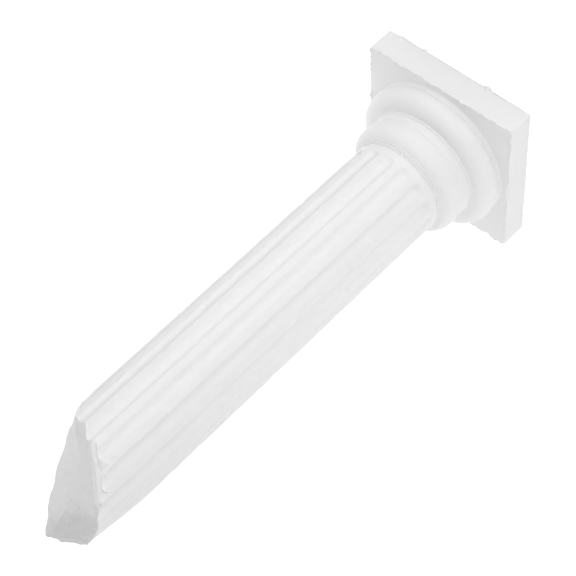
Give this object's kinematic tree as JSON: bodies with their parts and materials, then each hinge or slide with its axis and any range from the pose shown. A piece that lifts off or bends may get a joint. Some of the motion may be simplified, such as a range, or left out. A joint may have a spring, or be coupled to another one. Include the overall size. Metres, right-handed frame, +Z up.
{
  "type": "decorative column",
  "caption": "White plaster ornament in the form of a broken fluted column on a square plinth with rounded base mouldings, standing upright on a shelf or table.",
  "frame": {"origin": "centre of the underside, on the surface that the column stands on", "axes": "+Z up along the shaft's axis; X and Y along the sides of the square plinth"},
  "size_m": [0.0616, 0.0616, 0.1994],
  "materials": {
    "plaster": "matte",
    "steel": "satin",
    "brass": "satin",
    "felt": "matte"
  },
  "bodies": {
    "root": {"base_felt": "felt", "plinth": "plaster", "lower_torus": "plaster", "scotia_ring": "plaster", "upper_torus": "plaster", "cincture_ring": "plaster", "shaft": "plaster", "tie_rod": "steel", "shaft_insert": "brass", "rod_washer": "steel", "rod_nut": "steel", "plinth_pins": "steel", "shaft_pins": "steel"}
  },
  "joints": []
}
